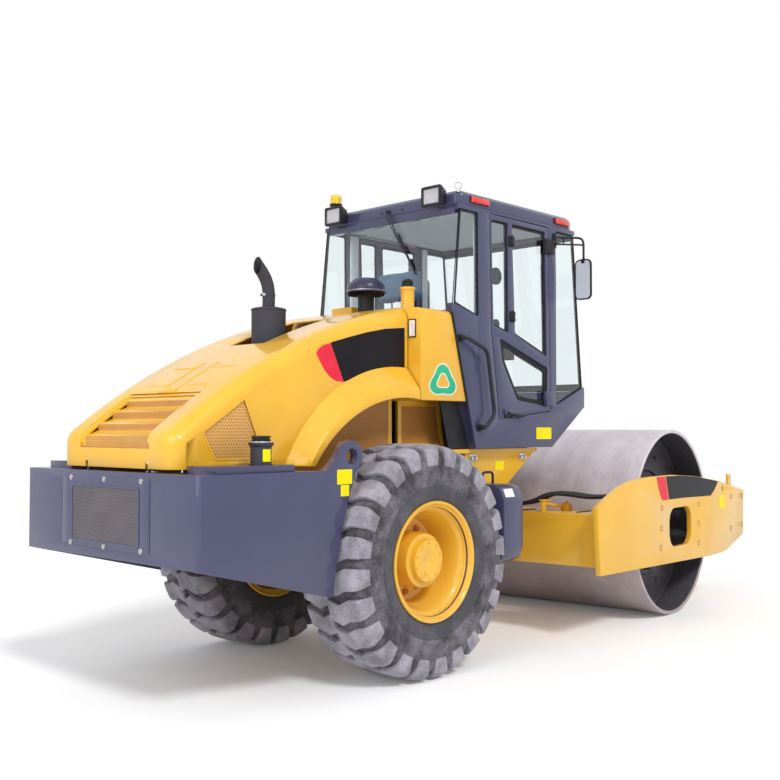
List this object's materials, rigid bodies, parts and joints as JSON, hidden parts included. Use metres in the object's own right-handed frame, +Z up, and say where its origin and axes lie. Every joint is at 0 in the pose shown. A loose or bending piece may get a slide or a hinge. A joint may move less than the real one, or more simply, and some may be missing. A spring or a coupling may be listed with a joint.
{
  "type": "articulated single-drum road roller",
  "caption": "Articulated road roller: steel drum in a frame, steering and oscillating hitch, closed cab, opening engine hood, lugged rear tyres.",
  "frame": {"origin": "middle of the bounding box, on the ground", "axes": "+X forward to the drum, +Y left, +Z up"},
  "size_m": [6.2388, 2.5822, 3.3319],
  "materials": {
    "yellow_paint": "gloss",
    "slate_paint": "semi-gloss",
    "black_paint": "satin",
    "drum_steel": "worn",
    "cast_iron": "matt",
    "chrome": "polished",
    "tyre": "dusty",
    "rubber": "matt",
    "black_plastic": "matt",
    "glass": "clear tint",
    "red_lens": "gloss",
    "amber_lens": "gloss",
    "seat_cloth": "woven",
    "mesh": "perforated",
    "orange_mesh": "perforated"
  },
  "bodies": {
    "rear_unit": {"beacon": "amber_lens", "cab_frame": "slate_paint", "cab_glass": "glass", "cab_mounts": "yellow_paint", "cab_roof": "slate_paint", "cab_shell": "slate_paint", "console": "black_plastic", "counterweight": "slate_paint", "engine_block": "cast_iron", "exhaust": "black_paint", "filler_necks": "black_plastic", "grab_rails": "black_paint", "marker_lamps": "red_lens", "mirrors": "black_plastic", "pre_cleaner": "black_plastic", "rear_axle": "cast_iron", "rear_frame": "yellow_paint", "rear_screen": "mesh", "seat": "seat_cloth", "side_screens": "orange_mesh", "step_boxes": "slate_paint", "tail_sides": "slate_paint", "tank_box": "yellow_paint", "work_lamps": "black_plastic"},
    "hood": {"hood": "yellow_paint", "hood_screens": "orange_mesh"},
    "hitch": {"hitch_yoke": "yellow_paint"},
    "front_unit": {"front_frame": "yellow_paint", "side_plates": "yellow_paint", "drum_carriers": "black_paint", "scrapers": "yellow_paint", "hoses": "rubber"},
    "drum": {"drum": "drum_steel"},
    "door_right": {"door_right": "slate_paint", "door_glass_right": "glass"},
    "barrel_right": {"barrel_right": "yellow_paint"},
    "rod_right": {"rod_right": "chrome"},
    "wheel_right": {"rim_right": "yellow_paint", "tyre_right": "tyre"},
    "door_left": {"door_left": "slate_paint", "door_glass_left": "glass"},
    "barrel_left": {"barrel_left": "yellow_paint"},
    "rod_left": {"rod_left": "chrome"},
    "wheel_left": {"rim_left": "yellow_paint", "tyre_left": "tyre"}
  },
  "joints": [
    {"name": "steer", "type": "hinge", "parent": "rear_unit", "child": "hitch", "pos_m": [-0.05639, -0.14668, 0.72], "axis": [0, 0, 1], "range_deg": [-38.3, 27.7]},
    {"name": "oscillate", "type": "hinge", "parent": "hitch", "child": "front_unit", "pos_m": [-0.05639, -0.14668, 0.72], "axis": [0.9957, 0.0924, 0], "range_deg": [-12, 12]},
    {"name": "drum_spin", "type": "hinge", "parent": "front_unit", "child": "drum", "pos_m": [1.58058, 0.00517, 0.7615], "axis": [-0.0924, 0.9957, 0], "continuous": true},
    {"name": "hood_open", "type": "hinge", "parent": "rear_unit", "child": "hood", "pos_m": [-3.03939, -0.14668, 1.33], "axis": [0, -1, 0], "range_deg": [0, 50]},
    {"name": "door_right_open", "type": "hinge", "parent": "rear_unit", "child": "door_right", "pos_m": [0.27261, -0.82768, 1.76], "axis": [0, 0, 1], "range_deg": [0, 90]},
    {"name": "wheel_right_spin", "type": "hinge", "parent": "rear_unit", "child": "wheel_right", "pos_m": [-1.40739, -0.88268, 0.72], "axis": [0, 1, 0], "continuous": true},
    {"name": "door_left_open", "type": "hinge", "parent": "rear_unit", "child": "door_left", "pos_m": [0.27261, 0.53432, 1.76], "axis": [0, 0, -1], "range_deg": [0, 90]},
    {"name": "wheel_left_spin", "type": "hinge", "parent": "rear_unit", "child": "wheel_left", "pos_m": [-1.40739, 0.58932, 0.72], "axis": [0, 1, 0], "continuous": true},
    {"name": "barrel_right_swing", "type": "hinge", "parent": "rear_unit", "child": "barrel_right", "pos_m": [-0.70739, -0.48668, 0.66], "axis": [0, 0, 1], "range_deg": [-3, 3]},
    {"name": "rod_right_slide", "type": "slide", "parent": "barrel_right", "child": "rod_right", "axis": [0.993, 0.1182, 0], "range_m": [-0.1671, 0.1211]},
    {"name": "barrel_left_swing", "type": "hinge", "parent": "rear_unit", "child": "barrel_left", "pos_m": [-0.70739, 0.19332, 0.66], "axis": [0, 0, 1], "range_deg": [-3, 3]},
    {"name": "rod_left_slide", "type": "slide", "parent": "barrel_left", "child": "rod_left", "axis": [0.993, -0.1184, 0], "range_m": [-0.1211, 0.1671]}
  ],
  "couplings": [
    {"joint": "barrel_right_swing", "follows": "steer", "ratio": -0.041},
    {"joint": "rod_right_slide", "follows": "steer", "m_per_rad": 0.2485},
    {"joint": "barrel_left_swing", "follows": "steer", "ratio": -0.0075},
    {"joint": "rod_left_slide", "follows": "steer", "m_per_rad": -0.2485}
  ]
}
